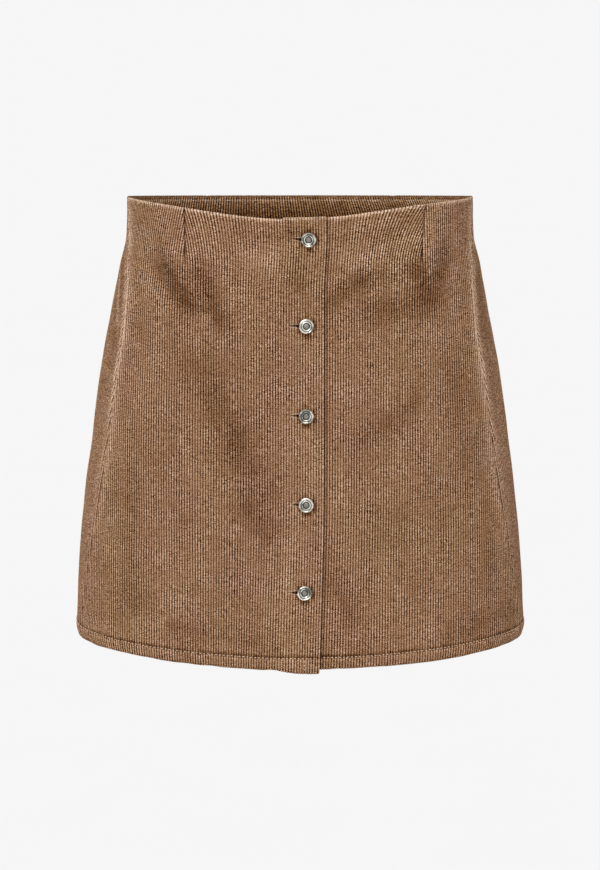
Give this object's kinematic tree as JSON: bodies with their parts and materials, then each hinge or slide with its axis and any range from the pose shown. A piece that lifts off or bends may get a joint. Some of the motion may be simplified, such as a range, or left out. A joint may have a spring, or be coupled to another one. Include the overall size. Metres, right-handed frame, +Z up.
{
  "type": "button-front corduroy a-line skirt",
  "caption": "Short A-line corduroy skirt with a button front, front and back darts, waist facings and a stitched hem, filled out and open at waist and hem.",
  "frame": {"origin": "centre of the waist opening, at the height of its two side points, where the waist of the wearer holds the skirt", "axes": "+Z up, -Y is the front with the buttons, +X is the wearer's left, which is on the right for someone who looks at the front"},
  "size_m": [0.3968, 0.2033, 0.4028],
  "materials": {
    "corduroy": "brown cotton corduroy, eleven wales to the inch, brushed pile with a soft uneven sheen",
    "facing_corduroy": "the same corduroy, its ribbed face turned to the inside of the waist",
    "button_metal": "nickel-coloured metal tack button, worn bright on the rim and darker in the sunk middle",
    "tack_metal": "plain dull metal back of the tack button"
  },
  "bodies": {
    "root": {"front_right": "corduroy", "front_left": "corduroy", "back": "corduroy", "facing_front_right": "facing_corduroy", "facing_front_left": "facing_corduroy", "facing_back": "facing_corduroy", "button_1": "button_metal", "button_2": "button_metal", "button_3": "button_metal", "button_4": "button_metal", "button_5": "button_metal", "tack_1": "tack_metal", "tack_2": "tack_metal", "tack_3": "tack_metal", "tack_4": "tack_metal", "tack_5": "tack_metal"}
  },
  "joints": []
}
